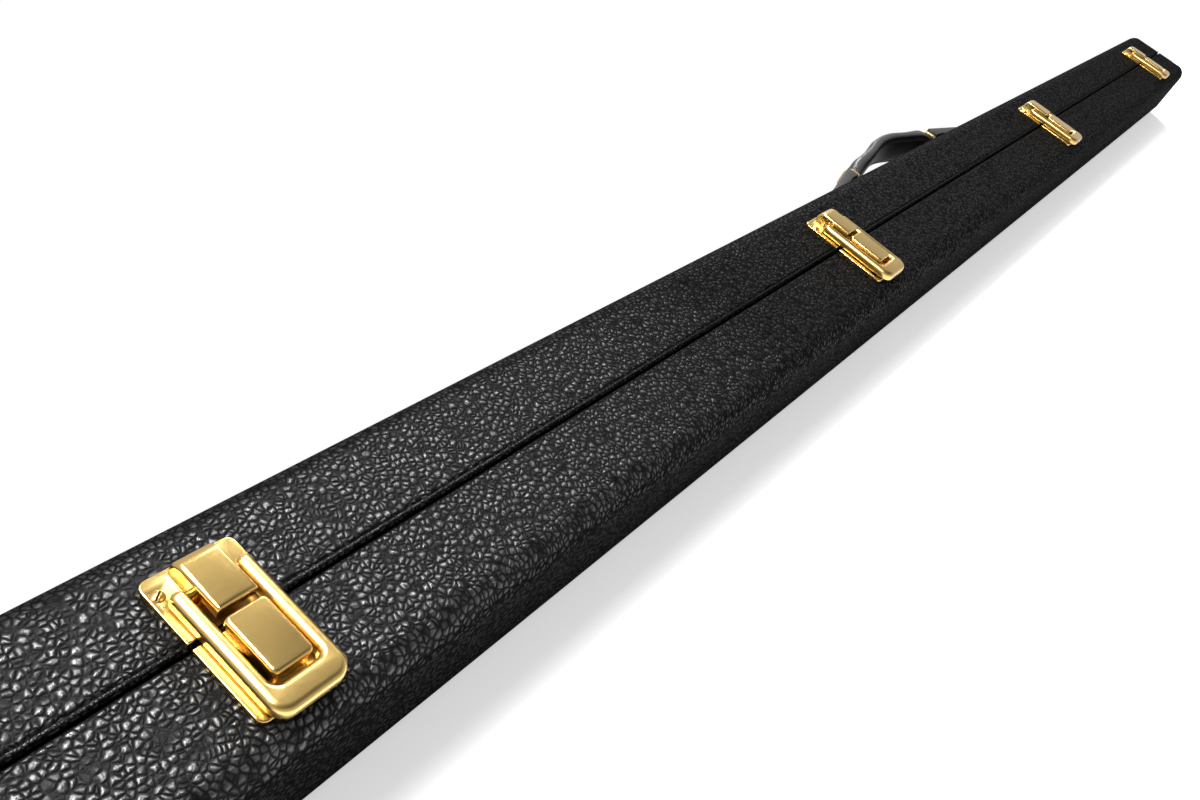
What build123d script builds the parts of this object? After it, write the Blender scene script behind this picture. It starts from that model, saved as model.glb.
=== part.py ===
"""Full-length pool cue case for a one-piece cue.

The case stands on its hinge side with its latch face up, as the photograph shows it.
X runs along the case, +X towards the end without the butt of the cue. Z is up. The seam
between the two halves is the plane y = 0: the body half lies at -Y, and the lid half,
which carries the handle, lies at +Y. The origin is at the middle of the case's length,
on the seam, at the level that the case stands on. Sizes are in millimetres.
"""

import os

from build123d import *

os.makedirs("parts", exist_ok=True)

BODY = -1
LID = 1

# Outer box of the closed case
case_length = 1516.0
case_width = 78.0
case_height = 60.0
corner_radius = 11.0
seam_gap = 1.6

# Walls, from the covering inwards
cover_thickness = 1.2
glue_gap = 0.1
panel_thickness = 5.0
rail_thickness = 10.5
end_thickness = 14.0
lining_thickness = 1.5
lining_step = 1.2
bead_radius = 0.7

# Continuous hinge in the seam of the standing side
hinge_end_margin = 58.0
hinge_axis_height = 3.0
knuckle_radius = 2.5
knuckle_pitch = 50.0
knuckle_gap = 0.4
leaf_thickness = 0.7
leaf_top = 11.4
hinge_pin_radius = 1.25
running_clearance = 0.05
relief_width = 5.0
relief_clearance = 0.5
hinge_screw_pitch = 100.0
hinge_screw_radius = 1.2
hinge_screw_length = 10.0
hinge_screw_head_radius = 2.0

# Latches on the top face
latch_count = 4
latch_end_margin = 122.0
latch_length = 52.0
latch_width = 31.6
latch_lid_reach = 23.3
latch_corner_radius = 3.0
plate_gap = 1.8
plate_thickness = 2.0
plate_edge_radius = 0.5

slab_width = 13.6
slab_end = 22.0
slab_start = 1.9
slab_top = 9.0
slab_underside = 5.4
slab_end_radius = 4.4
slab_edge_radius = 1.4
post_start = 8.4

bail_width = 26.4
bail_leg_width = 4.8
bail_reach = 31.9
bail_bar_width = 8.6
bail_corner_radius = 6.0
bail_window_radius = 2.6
bail_top = 7.1
bail_leg_bottom = 2.4
bail_bar_bottom = 4.5
bail_bevel_length = 2.5
bail_edge_radius = 1.7
bail_inner_edge_radius = 0.9
bail_pivot_y = 11.8
bail_pin_radius = 1.2
bail_pin_overhang = 0.2

button_width = 14.0
button_start = -0.2
button_end = -21.5
button_bottom = 2.2
button_top = 8.2
button_wall = 1.2
button_corner_radius = 2.0
button_edge_radius = 1.1
stud_length = 9.0
slide_clearance = 0.25
spring_wire_radius = 0.3
spring_radius = 1.7
spring_turns = 6

latch_screw_inset_x = 2.9
latch_screw_body_x = 8.6
latch_screw_inset_lid = 6.3
latch_screw_inset_body = 3.5
latch_screw_radius = 1.2
latch_screw_length = 9.0
latch_screw_head_radius = 2.1
latch_screw_head_height = 0.8

# What carries the cue inside
cue_butt_radius = 14.5
cue_tip_radius = 6.5
cue_length = 1473.0
cue_axis_y = -8.0
cue_clearance = 0.5
rest_thickness = 28.0
rest_end_margin = 158.0
rest_count = 4
rest_top_gap = 1.5
pad_count = 3
pad_radius = 1.5

# Handle on the lid's outer face
handle_centre = 9.0
handle_pivot_offset = 11.5
handle_pin_radius = 1.0
handle_pin_depth = 7.0
handle_pin_start = 3.0
ring_place = 77.0
ring_clearance = 0.3
ring_wall = 1.8
ring_depth = 3.6
neck_thickness = 9.0
neck_width = 13.0
neck_end = 79.2
neck_start = 74.3
grip_profile = [
    # distance from the middle, reach, thickness, width
    (70.0, 1.3, 9.6, 16.5),
    (63.0, 3.6, 10.0, 20.5),
    (53.0, 5.2, 9.2, 23.0),
    (42.0, 6.5, 8.2, 24.2),
    (32.0, 8.0, 7.9, 24.8),
    (22.0, 10.1, 8.2, 25.0),
    (12.0, 11.9, 8.3, 25.0),
]
grip_middle = (0.0, 12.6, 8.2, 25.0)
grip_roundness = 0.4
tab_inner = 80.4
tab_outer = 152.0
tab_width = 19.0
tab_thickness = 3.4
tab_flat_length = 13.0
tab_rise = 16.6
tab_loop_bottom = 8.0
tab_loop_length = 8.0
tab_lift = 130.0
rivet_radius = 3.6
rivet_head_height = 1.2
rivet_shank_radius = 1.6
rivet_shank_length = 5.8
rivet_inset = 6.8

# Derived places
inset = cover_thickness + glue_gap
half_length = case_length / 2
half_width = case_width / 2
seam_face = seam_gap / 2
wood_side = half_width - inset
panel_inner = wood_side - panel_thickness
rail_top = case_height - inset
cavity_bottom = inset + rail_thickness
cavity_top = rail_top - rail_thickness
cavity_end = half_length - inset - end_thickness
mid_height = case_height / 2
lining_inner = panel_inner - glue_gap - lining_thickness
lining_bottom = cavity_bottom + glue_gap + lining_thickness
lining_top = cavity_top - glue_gap - lining_thickness
flat_edge = half_width - corner_radius
relief_height = hinge_axis_height + knuckle_radius + relief_clearance
latch_spacing = (case_length - 2 * latch_end_margin) / (latch_count - 1)
rest_spacing = (case_length - 2 * rest_end_margin) / (rest_count - 1)
hinge_length = case_length - 2 * hinge_end_margin
latch_places = [latch_spacing * (i - (latch_count - 1) / 2) for i in range(latch_count)]
rest_places = [rest_spacing * (i - (rest_count - 1) / 2) for i in range(rest_count)]
pad_places = [rest_spacing * (i - (pad_count - 1) / 2) for i in range(pad_count)]


def save(part, name):
    """Label a finished piece and write its file."""
    part.label = name
    export_step(part, f"parts/{name}.step")


def side_name(side):
    return "body" if side == BODY else "lid"


def rounded_case(inset_by):
    """The closed case as one block, drawn in from its outer faces."""
    with BuildPart() as block:
        with Locations((0, 0, inset_by)):
            Box(
                case_length - 2 * inset_by,
                case_width - 2 * inset_by,
                case_height - 2 * inset_by,
                align=(Align.CENTER, Align.CENTER, Align.MIN),
            )
        fillet(block.edges(), corner_radius - inset_by)
    return block.part


def span_box(x0, x1, y0, y1, z0, z1, mode=Mode.ADD):
    """A box between two corners, in the block that is being built."""
    with Locations(((x0 + x1) / 2, (y0 + y1) / 2, (z0 + z1) / 2)):
        Box(abs(x1 - x0), abs(y1 - y0), abs(z1 - z0), mode=mode)


def x_cylinder(radius, length, y, z, x=0.0, mode=Mode.ADD):
    """A cylinder along X, in the block that is being built."""
    with Locations(Location((x, y, z), (0, 90, 0))):
        Cylinder(radius, length, mode=mode)


outer_block = rounded_case(0.0)
cover_inner_block = rounded_case(cover_thickness)
wood_block = rounded_case(inset)


def hinge_relief(side):
    """Room for the knuckles along the bottom of the seam."""
    span_box(-half_length, half_length, 0, side * relief_width, -1, relief_height, Mode.SUBTRACT)


def hinge_screw_places():
    count = int(hinge_length // hinge_screw_pitch)
    return [hinge_screw_pitch * (i - (count - 1) / 2) for i in range(count)]


def latch_screw_places(side):
    """Screw centres of one half's plates: one on each lid plate, two under each bail's bar."""
    if side == LID:
        dx = latch_width / 2 - latch_screw_inset_x
        return [(x - dx, latch_lid_reach - latch_screw_inset_lid) for x in latch_places]
    y = latch_lid_reach - latch_length + latch_screw_inset_body
    return [(x + end * latch_screw_body_x, y) for x in latch_places for end in (-1, 1)]


def cut_latch_screws(side, bottom):
    """Holes for the latch screws, from above down to a level."""
    with BuildSketch(Plane.XY.offset(bottom)) as holes:
        with Locations(*latch_screw_places(side)):
            Circle(latch_screw_radius + running_clearance)
    extrude(holes.sketch, amount=case_height - bottom + 1, mode=Mode.SUBTRACT)


def cut_hinge_screws(side, deep):
    """Holes for the hinge screws, from the seam into one half."""
    seam = Plane(origin=(0, 0, hinge_screw_height), x_dir=(1, 0, 0), z_dir=(0, side, 0))
    with BuildSketch(seam) as holes:
        with Locations(*[(x, 0) for x in hinge_screw_places()]):
            Circle(hinge_screw_radius + running_clearance)
    extrude(holes.sketch, amount=deep, mode=Mode.SUBTRACT)


def shank_hole(end):
    """Hole for the rivet's shank, in the block that is being built."""
    at = Plane(
        origin=(handle_centre + end * (tab_outer - rivet_inset), panel_inner - 1, mid_height),
        z_dir=(0, 1, 0),
    )
    with BuildSketch(at) as hole:
        Circle(rivet_shank_radius + running_clearance)
    extrude(hole.sketch, amount=half_width, mode=Mode.SUBTRACT)


hinge_screw_height = (hinge_axis_height + knuckle_radius + leaf_top) / 2
leaf_inner = seam_face - leaf_thickness
latch_screw_bottom = case_height + plate_thickness - latch_screw_length
strip_half_length = half_length - corner_radius


# Covered wooden halves
def make_cover(side):
    """Leathercloth skin of one half, open at the seam and where its standing strip lies."""
    with BuildPart() as cover:
        add(outer_block)
        add(cover_inner_block, mode=Mode.SUBTRACT)
        span_box(
            -case_length, case_length, side * seam_face, -side * case_width, -1, case_height + 1, Mode.SUBTRACT
        )
        hinge_relief(side)
        span_box(
            -strip_half_length,
            strip_half_length,
            0,
            side * flat_edge,
            -1,
            cover_thickness + glue_gap / 2,
            Mode.SUBTRACT,
        )
        cut_latch_screws(side, cavity_top)
        if side == LID:
            shank_hole(-1)
            shank_hole(1)
    return cover.part


def make_strip(side):
    """Flat covering strip along the standing side, between the hinge and the rounded edge."""
    with BuildPart() as strip:
        span_box(
            -strip_half_length, strip_half_length, side * relief_width, side * flat_edge, 0, cover_thickness
        )
    return strip.part


def make_panel(side):
    """Plywood board of the broad face."""
    with BuildPart() as panel:
        span_box(
            -half_length, half_length, side * panel_inner, side * wood_side, cavity_bottom, cavity_top
        )
        add(wood_block, mode=Mode.INTERSECT)
        if side == LID:
            shank_hole(-1)
            shank_hole(1)
    return panel.part


def make_latch_rail(side):
    """Solid wood rail under the latches."""
    with BuildPart() as rail:
        span_box(-half_length, half_length, side * seam_face, side * wood_side, cavity_top, rail_top)
        add(wood_block, mode=Mode.INTERSECT)
        cut_latch_screws(side, latch_screw_bottom)
    return rail.part


def make_hinge_rail(side):
    """Solid wood rail that the hinge is screwed to."""
    with BuildPart() as rail:
        span_box(-half_length, half_length, side * seam_face, side * wood_side, inset, cavity_bottom)
        add(wood_block, mode=Mode.INTERSECT)
        hinge_relief(side)
        cut_hinge_screws(side, leaf_inner + hinge_screw_length)
    return rail.part


def make_end(side, end):
    """Solid wood block at one end, between the rails."""
    with BuildPart() as block:
        span_box(
            end * cavity_end,
            end * half_length,
            side * seam_face,
            side * panel_inner,
            cavity_bottom,
            cavity_top,
        )
        add(wood_block, mode=Mode.INTERSECT)
    return block.part


def make_lining(side):
    """Velvet-faced foam tray inside one half."""
    skin = lining_thickness
    with BuildPart() as lining:
        span_box(
            -cavity_end + glue_gap,
            cavity_end - glue_gap,
            side * (seam_face + lining_step),
            side * (panel_inner - glue_gap),
            cavity_bottom + glue_gap,
            cavity_top - glue_gap,
        )
        span_box(
            -cavity_end + glue_gap + skin,
            cavity_end - glue_gap - skin,
            0,
            side * lining_inner,
            lining_bottom,
            lining_top,
            Mode.SUBTRACT,
        )
    return lining.part


for side in (BODY, LID):
    name = side_name(side)
    save(make_cover(side), f"{name}_cover")
    save(make_strip(side), f"{name}_standing_strip")
    save(make_panel(side), f"{name}_panel")
    save(make_latch_rail(side), f"{name}_latch_rail")
    save(make_hinge_rail(side), f"{name}_hinge_rail")
    save(make_end(side, -1), f"{name}_near_end")
    save(make_end(side, 1), f"{name}_far_end")
    save(make_lining(side), f"{name}_lining")


# Thin bead along the lid's edge of the seam, on the latch face
with BuildPart() as bead:
    x_cylinder(
        bead_radius, 2 * (half_length - corner_radius), seam_face + bead_radius, case_height, 0.0
    )
    span_box(
        -half_length, half_length, 0, 2 * half_width, case_height - 2 * bead_radius, case_height, Mode.SUBTRACT
    )
    for x in latch_places:
        span_box(
            x - latch_width / 2 - 1,
            x + latch_width / 2 + 1,
            0,
            2 * half_width,
            case_height - 1,
            case_height + 2,
            Mode.SUBTRACT,
        )
save(bead.part, "lid_seam_bead")


# Continuous hinge
knuckle_count = int(hinge_length // knuckle_pitch)
knuckle_places = [knuckle_pitch * (i - (knuckle_count - 1) / 2) for i in range(knuckle_count)]


def make_leaf(side):
    """One leaf of the hinge with every second knuckle."""
    own = knuckle_places[0::2] if side == BODY else knuckle_places[1::2]
    other = knuckle_places[1::2] if side == BODY else knuckle_places[0::2]
    with BuildPart() as leaf:
        span_box(
            -hinge_length / 2,
            hinge_length / 2,
            side * leaf_inner,
            side * seam_face,
            hinge_axis_height,
            leaf_top,
        )
        for x in other:
            x_cylinder(
                knuckle_radius + knuckle_gap,
                knuckle_pitch + knuckle_gap,
                0,
                hinge_axis_height,
                x,
                Mode.SUBTRACT,
            )
        for x in own:
            x_cylinder(knuckle_radius, knuckle_pitch - knuckle_gap, 0, hinge_axis_height, x)
        x_cylinder(
            hinge_pin_radius + running_clearance,
            hinge_length + 2,
            0,
            hinge_axis_height,
            0.0,
            Mode.SUBTRACT,
        )
        for x in hinge_screw_places():
            with BuildSketch(
                Plane(origin=(x, 0, hinge_screw_height), x_dir=(1, 0, 0), z_dir=(0, side, 0))
            ):
                Circle(hinge_screw_head_radius + running_clearance)
            extrude(amount=half_width, mode=Mode.SUBTRACT)
    return leaf.part


def make_hinge_screws(side):
    """Flush screws through one leaf into its rail."""
    with BuildPart() as screws:
        for x in hinge_screw_places():
            face = Plane(
                origin=(x, side * leaf_inner, hinge_screw_height), x_dir=(1, 0, 0), z_dir=(0, side, 0)
            )
            with BuildSketch(face):
                Circle(hinge_screw_head_radius)
            extrude(amount=leaf_thickness)
            with BuildSketch(face):
                Circle(hinge_screw_radius)
            extrude(amount=hinge_screw_length - glue_gap)
    return screws.part


for side in (BODY, LID):
    name = side_name(side)
    save(make_leaf(side), f"{name}_hinge_leaf")
    save(make_hinge_screws(side), f"{name}_hinge_screws")

with BuildPart() as hinge_pin:
    x_cylinder(hinge_pin_radius, hinge_length, 0, hinge_axis_height)
save(hinge_pin.part, "hinge_pin")


# Latches
def latch_plate(x, side):
    """Stamped plate of one half of a latch."""
    with BuildPart() as plate:
        with BuildSketch(Plane.XY.offset(case_height)):
            with Locations((x, latch_lid_reach - latch_length / 2)):
                RectangleRounded(latch_width, latch_length, latch_corner_radius)
            with Locations((x, -side * (latch_length - plate_gap) / 2)):
                Rectangle(latch_width + 2, latch_length, mode=Mode.SUBTRACT)
        extrude(amount=plate_thickness)
        fillet(plate.faces().sort_by(Axis.Z)[-1].edges(), plate_edge_radius)
        with BuildSketch(Plane.XY.offset(case_height)):
            with Locations(*[p for p in latch_screw_places(side) if abs(p[0] - x) < latch_width]):
                Circle(latch_screw_radius + running_clearance)
        extrude(amount=plate_thickness + 1, mode=Mode.SUBTRACT)
    return plate.part


def make_strike(x):
    """Lid plate with its post and the slab that reaches over it towards the seam."""
    with BuildPart() as strike:
        add(latch_plate(x, LID))
        low = case_height + plate_thickness - 0.5
        with BuildSketch(Plane.YZ.offset(x - slab_width / 2)):
            with BuildLine():
                Polyline(
                    (slab_end, case_height + slab_top - slab_end_radius),
                    (slab_end, low),
                    (post_start, low),
                    (post_start, case_height + slab_underside),
                    (slab_start, case_height + slab_underside),
                    (slab_start, case_height + slab_top),
                    (slab_end - slab_end_radius, case_height + slab_top),
                )
                RadiusArc(
                    (slab_end - slab_end_radius, case_height + slab_top),
                    (slab_end, case_height + slab_top - slab_end_radius),
                    slab_end_radius,
                )
            make_face()
        extrude(amount=slab_width)
        top = strike.faces().filter_by(Axis.Z).sort_by(Axis.Z)[-1]
        fillet(top.edges(), slab_edge_radius)
        x_cylinder(
            bail_pin_radius + running_clearance,
            slab_width + 2,
            bail_pivot_y,
            case_height + bail_pivot_height,
            x,
            Mode.SUBTRACT,
        )
    return strike.part


bail_pivot_height = (bail_top + bail_leg_bottom) / 2


def make_bail(x):
    """U-shaped clasp that swings on the pin through the post."""
    tip_radius = bail_pivot_height - bail_leg_bottom
    bar_inner = bail_reach - bail_bar_width
    with BuildPart() as bail:
        with BuildSketch(Plane.XY.offset(case_height)) as outline:
            length = bail_pivot_y + tip_radius + bail_reach
            with Locations((x, bail_pivot_y + tip_radius - length / 2)):
                Rectangle(bail_width, length)
            fillet(outline.vertices().group_by(Axis.Y)[0], bail_corner_radius)
            with Locations((x, bail_pivot_y + tip_radius - (bail_pivot_y + tip_radius + bar_inner) / 2)):
                Rectangle(
                    bail_width - 2 * bail_leg_width,
                    bail_pivot_y + tip_radius + bar_inner,
                    mode=Mode.SUBTRACT,
                )
            fillet(
                outline.vertices().filter_by(lambda v: abs(v.Y + bar_inner) < 0.01), bail_window_radius
            )
        extrude(amount=bail_top)
        with BuildSketch(Plane.YZ.offset(x - bail_width)):
            with BuildLine():
                Polyline(
                    (bail_pivot_y, case_height + bail_top),
                    (-bail_reach - 1, case_height + bail_top),
                    (-bail_reach - 1, case_height + bail_bar_bottom),
                    (-bar_inner, case_height + bail_bar_bottom),
                    (-bar_inner + bail_bevel_length, case_height + bail_leg_bottom),
                    (bail_pivot_y, case_height + bail_leg_bottom),
                )
                RadiusArc(
                    (bail_pivot_y, case_height + bail_leg_bottom),
                    (bail_pivot_y, case_height + bail_top),
                    -tip_radius,
                )
            make_face()
        extrude(amount=2 * bail_width, mode=Mode.INTERSECT)
        top = bail.faces().filter_by(Axis.Z).sort_by(Axis.Z)[-1]
        crest = top.edges().filter_by(lambda e: e.center().Y < bail_pivot_y - 0.1)
        window = bail_width / 2 - bail_leg_width + 0.1
        inner = crest.filter_by(
            lambda e: abs(e.center().X - x) < window and e.center().Y > -bar_inner - 0.1
        )
        fillet([edge for edge in crest if edge not in inner], bail_edge_radius)
        top = bail.faces().filter_by(Axis.Z).sort_by(Axis.Z)[-1]
        inner = top.edges().filter_by(
            lambda e: abs(e.center().X - x) < window and e.center().Y > -bar_inner - 0.1
        )
        fillet(inner, bail_inner_edge_radius)
        x_cylinder(
            bail_pin_radius + running_clearance,
            bail_width + 2,
            bail_pivot_y,
            case_height + bail_pivot_height,
            x,
            Mode.SUBTRACT,
        )
    return bail.part


def make_bail_pin(x):
    with BuildPart() as pin:
        x_cylinder(
            bail_pin_radius,
            bail_width - 2 * bail_pin_overhang,
            bail_pivot_y,
            case_height + bail_pivot_height,
            x,
        )
    return pin.part


stud_start = button_start - button_wall - running_clearance
stud_end = stud_start - stud_length
spring_end = button_end + button_wall


def make_keeper(x):
    """Body plate with the stud that guides the button."""
    with BuildPart() as keeper:
        add(latch_plate(x, BODY))
        stud_half = button_width / 2 - button_wall - slide_clearance
        span_box(
            x - stud_half,
            x + stud_half,
            stud_start,
            stud_end,
            case_height + plate_thickness - 0.5,
            case_height + button_top - button_wall - slide_clearance,
        )
    return keeper.part


def make_button(x):
    """Hollow sliding button that fills the bail's window."""
    centre_y = (button_start + button_end) / 2
    depth = button_start - button_end
    with BuildPart() as button:
        with BuildSketch(Plane.XY.offset(case_height + button_bottom)):
            with Locations((x, centre_y)):
                Rectangle(button_width, depth)
        extrude(amount=button_top - button_bottom)
        fillet(button.edges().filter_by(Axis.Z), button_corner_radius)
        fillet(button.faces().sort_by(Axis.Z)[-1].edges(), button_edge_radius)
        with BuildSketch(Plane.XY.offset(case_height + button_bottom)):
            with Locations((x, centre_y)):
                Rectangle(button_width - 2 * button_wall, depth - 2 * button_wall)
        extrude(amount=button_top - button_bottom - button_wall, mode=Mode.SUBTRACT)
    return button.part


def make_button_spring(x):
    """Coil between the stud and the button's far wall."""
    room = stud_end - spring_end - 2 * (spring_wire_radius + 0.1)
    height = case_height + (plate_thickness + button_top - button_wall) / 2
    start = stud_end - spring_wire_radius - 0.1
    with BuildPart() as spring:
        with BuildLine() as coil:
            Helix(
                pitch=room / spring_turns,
                height=room,
                radius=spring_radius,
                center=(x, start, height),
                direction=(0, -1, 0),
            )
        with BuildSketch(Plane(origin=coil.line @ 0, z_dir=coil.line % 0)):
            Circle(spring_wire_radius)
        sweep()
    return spring.part


for number, x in enumerate(latch_places, 1):
    save(make_strike(x), f"latch_strike_{number}")
    save(make_bail(x), f"latch_bail_{number}")
    save(make_bail_pin(x), f"latch_bail_pin_{number}")
    save(make_keeper(x), f"latch_keeper_{number}")
    save(make_button(x), f"latch_button_{number}")
    save(make_button_spring(x), f"latch_button_spring_{number}")


def make_latch_screws(side):
    """Domed screws at the corners of one half's latch plates."""
    with BuildPart() as screws:
        with BuildSketch(Plane.XY.offset(latch_screw_bottom + glue_gap)):
            with Locations(*latch_screw_places(side)):
                Circle(latch_screw_radius)
        extrude(amount=latch_screw_length - glue_gap)
        with BuildSketch(Plane.XY.offset(case_height + plate_thickness)):
            with Locations(*latch_screw_places(side)):
                Circle(latch_screw_head_radius)
        extrude(amount=latch_screw_head_height, taper=30)
    return screws.part


for side in (BODY, LID):
    save(make_latch_screws(side), f"{side_name(side)}_latch_screws")


# Cue rests in the body and pads in the lid
def cue_radius(x):
    """Radius of a tapered cue whose butt lies at the -X end."""
    share = (x + cue_length / 2) / cue_length
    return cue_butt_radius + (cue_tip_radius - cue_butt_radius) * share


for number, x in enumerate(rest_places, 1):
    radius = cue_radius(x) + cue_clearance
    with BuildPart() as rest:
        span_box(
            x - rest_thickness / 2,
            x + rest_thickness / 2,
            -lining_inner + glue_gap,
            -rest_top_gap,
            lining_bottom + glue_gap,
            lining_top - glue_gap,
        )
        x_cylinder(radius, rest_thickness + 2, cue_axis_y, mid_height, x, Mode.SUBTRACT)
        span_box(
            x - rest_thickness,
            x + rest_thickness,
            cue_axis_y,
            0,
            mid_height - radius,
            mid_height + radius,
            Mode.SUBTRACT,
        )
    save(rest.part, f"cue_rest_{number}")

with BuildPart() as lid_pads:
    for x in pad_places:
        face_y = max(cue_axis_y + cue_radius(x) + cue_clearance, rest_top_gap)
        span_box(
            x - rest_thickness / 2,
            x + rest_thickness / 2,
            face_y,
            lining_inner - glue_gap,
            lining_bottom + glue_gap,
            lining_top - glue_gap,
        )
    fillet(lid_pads.edges().filter_by(Axis.Z), pad_radius)
save(lid_pads.part, "lid_pads")


# Handle
pivot_y = half_width + handle_pivot_offset


def across(distance, reach):
    """Plane square to the case's length at a point of the handle, its X up across the handle."""
    place = (handle_centre + distance, pivot_y + reach, mid_height)
    return Plane(origin=place, x_dir=(0, 0, 1), z_dir=(1, 0, 0))


def grip_section(distance, reach, thickness, width):
    """One cross-section of the grip."""
    with BuildSketch(across(distance, reach)) as section:
        RectangleRounded(width, thickness, thickness * grip_roundness)
    return section.sketch


def handle_pin(end, radius, mode=Mode.ADD):
    """Stub along the handle's axis at one end, from the neck into the tab."""
    start = ring_place - handle_pin_start
    length = tab_inner + handle_pin_depth - start
    middle = handle_centre + end * (start + length / 2)
    x_cylinder(radius, length, pivot_y, mid_height, middle, mode)


def make_grip():
    """Flat padded grip, from ring to ring, arched in the middle and swelling beside each neck."""
    half = [(neck_start, 0, neck_thickness, neck_width)] + grip_profile
    stations = [(-place, *sizes) for place, *sizes in half] + [grip_middle] + list(reversed(half))
    with BuildPart() as grip:
        for station in stations:
            add(grip_section(*station))
        loft()
        for end in (-1, 1):
            neck = grip_section(end * neck_start, 0, neck_thickness, neck_width)
            extrude(neck, amount=end * (neck_end - neck_start))
        handle_pin(-1, handle_pin_radius + running_clearance, Mode.SUBTRACT)
        handle_pin(1, handle_pin_radius + running_clearance, Mode.SUBTRACT)
    return grip.part


save(make_grip(), "handle_grip")


def make_ring(end):
    """Brass band that holds the grip's neck."""
    width = neck_width + 2 * ring_clearance
    height = neck_thickness + 2 * ring_clearance
    radius = neck_thickness * grip_roundness
    with BuildPart() as ring:
        with BuildSketch(across(end * ring_place, 0)):
            RectangleRounded(width + 2 * ring_wall, height + 2 * ring_wall, radius + ring_wall)
            RectangleRounded(width, height, radius, mode=Mode.SUBTRACT)
        extrude(amount=ring_depth / 2, both=True)
        fillet(ring.edges(), ring_wall * 0.3)
    return ring.part


save(make_ring(-1), "handle_ring_near")
save(make_ring(1), "handle_ring_far")


def make_tab(end):
    """Leather strap that rises from the lid and ends in a loop round the handle's pin."""
    outline = [
        (tab_outer, 0),
        (tab_outer, tab_thickness),
        (tab_outer - tab_flat_length, tab_thickness),
        (tab_inner, tab_rise),
        (tab_inner, tab_loop_bottom),
        (tab_inner + tab_loop_length, tab_loop_bottom),
        (tab_lift, 0),
        (tab_outer, 0),
    ]
    with BuildPart() as tab:
        with BuildSketch(Plane.XY.offset(mid_height - tab_width / 2)):
            with BuildLine():
                Polyline(*[(handle_centre + end * x, half_width + y) for x, y in outline])
            make_face()
        extrude(amount=tab_width)
        corners = tab.edges().filter_by(Axis.Y).group_by(Axis.X)[-1 if end > 0 else 0]
        fillet(corners, tab_width * 0.3)
        shank_hole(end)
        handle_pin(end, handle_pin_radius + running_clearance, Mode.SUBTRACT)
    return tab.part


save(make_tab(-1), "handle_tab_near")
save(make_tab(1), "handle_tab_far")


with BuildPart() as pins:
    handle_pin(-1, handle_pin_radius)
    handle_pin(1, handle_pin_radius)
save(pins.part, "handle_pins")

with BuildPart() as rivets:
    for end in (-1, 1):
        x = handle_centre + end * (tab_outer - rivet_inset)
        head = Plane(origin=(x, half_width + tab_thickness, mid_height), z_dir=(0, 1, 0))
        with BuildSketch(head):
            Circle(rivet_radius)
        extrude(amount=rivet_head_height, taper=25)
        with BuildSketch(head):
            Circle(rivet_shank_radius)
        extrude(amount=-(tab_thickness + rivet_shank_length))
save(rivets.part, "handle_rivets")
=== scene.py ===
"""Looks of a full-length pool cue case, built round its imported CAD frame.

Lengths in the code are in metres, in the frame's own axes: X along the case, +Y towards
the lid half with the handle, and Z up from the standing side to the latch face.
"""

import math

import bmesh
import bpy
import numpy as np
from bpy.props import FloatProperty, FloatVectorProperty, PointerProperty
from mathutils import Matrix, Vector


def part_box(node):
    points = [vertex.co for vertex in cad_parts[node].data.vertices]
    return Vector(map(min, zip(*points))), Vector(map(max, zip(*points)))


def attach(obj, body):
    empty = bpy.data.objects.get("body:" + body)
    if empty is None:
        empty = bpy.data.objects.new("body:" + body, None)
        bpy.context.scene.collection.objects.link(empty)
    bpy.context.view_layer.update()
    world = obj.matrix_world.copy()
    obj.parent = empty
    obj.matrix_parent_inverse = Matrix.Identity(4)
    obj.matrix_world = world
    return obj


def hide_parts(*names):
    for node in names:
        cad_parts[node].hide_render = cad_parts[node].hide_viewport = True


bl_info = {
    "name": "Pool Cue Case",
    "version": (1, 0, 0),
    "blender": (4, 5, 0),
    "location": "3D View > Sidebar > Cue Case",
    "description": "Builds the covering, latches, handle, lining and stage of a pool cue case",
    "category": "Object",
}

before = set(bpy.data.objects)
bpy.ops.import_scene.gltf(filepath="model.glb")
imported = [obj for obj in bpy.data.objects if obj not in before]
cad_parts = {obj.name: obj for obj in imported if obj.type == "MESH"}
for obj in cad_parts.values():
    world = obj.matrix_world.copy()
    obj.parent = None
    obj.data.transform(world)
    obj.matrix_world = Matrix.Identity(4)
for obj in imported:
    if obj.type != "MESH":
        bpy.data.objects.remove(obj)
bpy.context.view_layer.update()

MM = 0.001
SIDES = {"body": -1, "lid": 1}
ENDS = {"near": -1, "far": 1}
LATCHES = RESTS = (1, 2, 3, 4)
HALF_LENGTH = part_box("lid_cover")[1][0]
HALF_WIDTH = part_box("lid_cover")[1][1]
CASE_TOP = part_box("lid_cover")[1][2]
MID_HEIGHT = CASE_TOP / 2
CAVITY_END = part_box("lid_lining")[1][0]
CAVITY_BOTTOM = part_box("lid_lining")[0][2]
CAVITY_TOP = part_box("lid_lining")[1][2]
HINGE_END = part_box("lid_hinge_leaf")[1][0]
SHARP = 50  # degrees between faces at which shading breaks

# Grain of pebbles, in shares of a pebble's width
WARPS = ((0.4, 1.6), (1.6, 0.45))  # pace and reach of what bends the grain
LUMPS_ACROSS = 2.1
PEBBLE_WALL, LUMP_WALL, CREASE_WALL = 0.4, 0.3, 0.13

# Covering
LIP_STEPS = 8
SHELF_CLIMB = 1.4 * MM  # width of the bead shelf's slope
TURNED_IN = 3.0 * MM  # reach of the covering into the case past its lip
HINGE_PLAY = 0.5 * MM  # gap between the covering and the hinge's end
MERGE = 0.02 * MM  # distance at which points become one

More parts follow.
